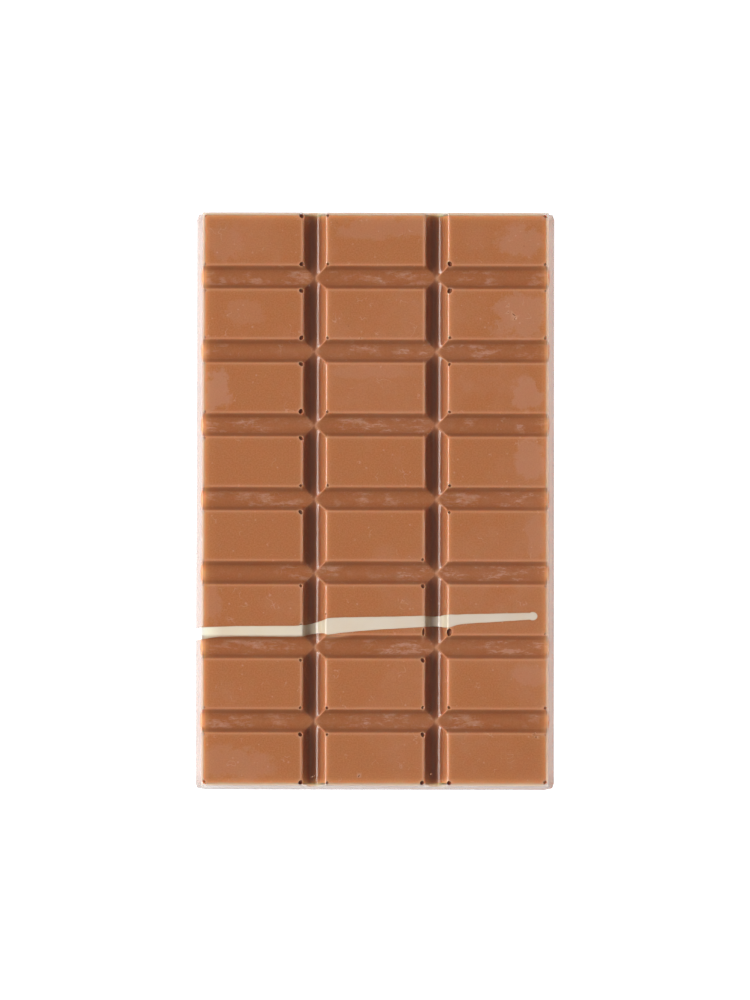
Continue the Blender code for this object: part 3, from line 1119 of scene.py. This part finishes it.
def make_crumbs():
    """A few crumbs of broken chocolate lying on the face, as one piece."""
    crumbs = []
    for x, y, half, turn in CRUMBS:
        deselect()
        bpy.ops.mesh.primitive_ico_sphere_add(
            subdivisions=3, radius=MM, rotation=(0, 0, math.radians(turn)),
            location=(x * MM, y * MM, THICKNESS + CRUMB_LIFT * half * MM),
        )
        crumb = bpy.context.object
        crumb.scale = (half, CRUMB_WIDTH * half, CRUMB_HEIGHT * half)
        crumbs.append(crumb)
    joined = join_pieces(crumbs)
    name_piece(joined, "chocolate_crumbs")
    bpy.ops.object.transform_apply(location=True, rotation=True, scale=True)
    for vertex in joined.data.vertices:
        push = noise.noise(vertex.co / CRUMB_LUMP_LENGTH) * CRUMB_LUMP
        vertex.co += vertex.normal * push
    return joined


def crumb_chocolate():
    """Broken chocolate: dull, with pale and dark patches."""
    finish = Finish("crumb_chocolate")
    cloud = finish.effect(PATCHES, Scale=2600.0, Low=0.40, High=0.60, Breakup=0.6)
    finish.set(Base_Color=finish.mix(cloud, FACE_DARK, CRUMB_LIGHT), Roughness=0.45)
    return finish.material


# Camera, floor and light
PIXEL = 0.20665 * MM
FRAME_HEIGHT = 1000 * PIXEL
CAMERA_DISTANCE = 1.5
CAMERA_LEAN = math.radians(2.55)
CAMERA_ROLL = math.radians(0.11)
AIM = Vector((-0.15 * PIXEL, -1.15 * PIXEL, THICKNESS))
SENSOR = 36.0

FLOOR_SIZE = 6.0
FLOOR_GLOW = 1.03
FLOOR_MIRRORED_LEFT, FLOOR_MIRRORED_RIGHT, FLOOR_MIRRORED_ENDS = 1.02, 0.72, 0.72
FLOOR_END_FADE = 4 * MM
FLOOR_FILL = 0.25
FLOOR_WHITE = 0.6

LIGHT_DISTANCE = 2.0
SKY_GLOW, HORIZON_GLOW, ZENITH_GLOW = 0.08, 1.0, 0.15
HORIZON_TOP = math.sin(math.radians(10))
ZENITH_START = math.sin(math.radians(72))
LENS_VEIL = 0.010


def add_camera():
    data = bpy.data.cameras.new("camera")
    data.sensor_width = SENSOR
    data.lens = SENSOR * CAMERA_DISTANCE / FRAME_HEIGHT
    camera = bpy.data.objects.new("camera", data)
    bpy.context.scene.collection.objects.link(camera)
    back = Vector((0, -math.sin(CAMERA_LEAN), math.cos(CAMERA_LEAN)))
    camera.location = AIM + back * CAMERA_DISTANCE
    camera.rotation_euler = (CAMERA_LEAN, 0, 0)
    camera.rotation_euler.rotate_axis("Z", CAMERA_ROLL)
    bpy.context.scene.camera = camera


def pale_floor():
    """White as seen, with a brightness of its own in reflections and as fill light."""
    finish = Finish("pale_floor")
    place = finish.axes(finish.place)
    path = finish.nodes.new("ShaderNodeLightPath").outputs
    across = finish.ramp(
        place["X"], bar_low.x, bar_high.x, FLOOR_MIRRORED_LEFT, FLOOR_MIRRORED_RIGHT)
    along = finish.math("ABSOLUTE", place["Y"])
    ends = finish.ramp(
        along, bar_high.y - FLOOR_END_FADE, bar_high.y, 1.0, FLOOR_MIRRORED_ENDS)
    mirrored = finish.math("MULTIPLY", across, ends)
    glow = finish.blend(path["Is Glossy Ray"], FLOOR_GLOW, mirrored)
    glow = finish.blend(path["Is Diffuse Ray"], glow, FLOOR_FILL)
    finish.set(
        Base_Color=(FLOOR_WHITE, FLOOR_WHITE, FLOOR_WHITE, 1.0), Roughness=0.8,
        Specular_IOR_Level=0.0, Emission_Color=(1.0, 1.0, 1.0, 1.0), Emission_Strength=glow)
    return finish.material


def add_floor():
    deselect()
    bpy.ops.mesh.primitive_plane_add(size=FLOOR_SIZE, location=(0, 0, 0))
    floor = bpy.context.object
    floor.name = "floor"
    floor.data.materials.append(pale_floor())


def add_light_band(name, azimuth, half_width, low, high, radiance):
    """An upright soft panel around the bar. Its angles are in degrees as the bar sees them."""
    bottom = LIGHT_DISTANCE * math.tan(math.radians(low))
    top = LIGHT_DISTANCE * math.tan(math.radians(high))
    data = bpy.data.lights.new(name, "AREA")
    data.shape = "RECTANGLE"
    data.size = 2 * LIGHT_DISTANCE * math.tan(math.radians(half_width))
    data.size_y = top - bottom
    data.energy = radiance * math.pi * data.size * data.size_y
    light = bpy.data.objects.new(name, data)
    bpy.context.scene.collection.objects.link(light)
    around = math.radians(azimuth)
    light.location = (
        LIGHT_DISTANCE * math.cos(around),
        LIGHT_DISTANCE * math.sin(around),
        (bottom + top) / 2,
    )
    light.rotation_euler = (math.pi / 2, 0, around + math.pi / 2)
    light.visible_camera = False


def add_sky():
    """A dim room with a bright horizon and a faint light overhead."""
    world = bpy.data.worlds.new("studio")
    bpy.context.scene.world = world
    world.use_nodes = True
    sky = Nodes(world.node_tree)
    place = sky.nodes.new("ShaderNodeTexCoord").outputs["Generated"]
    ramp = sky.add("ShaderNodeValToRGB", Fac=sky.axes(place)["Z"])
    stops = ramp.color_ramp.elements
    stops.remove(stops[1])
    stops[0].position = 0.0
    stops[0].color = (HORIZON_GLOW, HORIZON_GLOW, HORIZON_GLOW, 1)
    above = ((HORIZON_TOP, SKY_GLOW), (ZENITH_START, SKY_GLOW), (1.0, ZENITH_GLOW))
    for position, glow in above:
        stops.new(position).color = (glow, glow, glow, 1)
    background = sky.nodes["Background"]
    sky.plug_all(background, {"Color": ramp.outputs["Color"], "Strength": 1.0})


def set_view():
    """Plain colours, with the black level lifted a hair by the veil of the lens."""
    view = bpy.context.scene.view_settings
    view.view_transform = "Standard"
    view.use_curve_mapping = True
    view.curve_mapping.black_level = (-LENS_VEIL, -LENS_VEIL, -LENS_VEIL)
    view.curve_mapping.update()


def dress(item, material, smooth_below):
    """Give a piece its material, and shade it smooth below an angle in degrees."""
    item.data.materials.clear()
    item.data.materials.append(material)
    deselect()
    item.select_set(True)
    bpy.context.view_layer.objects.active = item
    bpy.ops.object.shade_smooth_by_angle(angle=math.radians(smooth_below))


bar = make_bar()
cut_hollows(bar)
dress(bar, milk_chocolate(), smooth_below=40)
paint_bar(bar)
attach(bar, "root")
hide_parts("chocolate_bar")

streak = make_streak()
paint_streak(streak)
dress(streak, white_chocolate(), smooth_below=60)
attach(streak, "root")
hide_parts("chocolate_bar")

crumbs = make_crumbs()
dress(crumbs, crumb_chocolate(), smooth_below=50)
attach(crumbs, "root")

add_camera()
add_floor()
add_light_band("key_softbox", 180, 26, 28, 59, 12.5)
add_light_band("far_low", 0, 40, 0, 9, 10.0)
add_light_band("far_high", 0, 16, 51, 54, 3.5)
add_sky()
set_view()
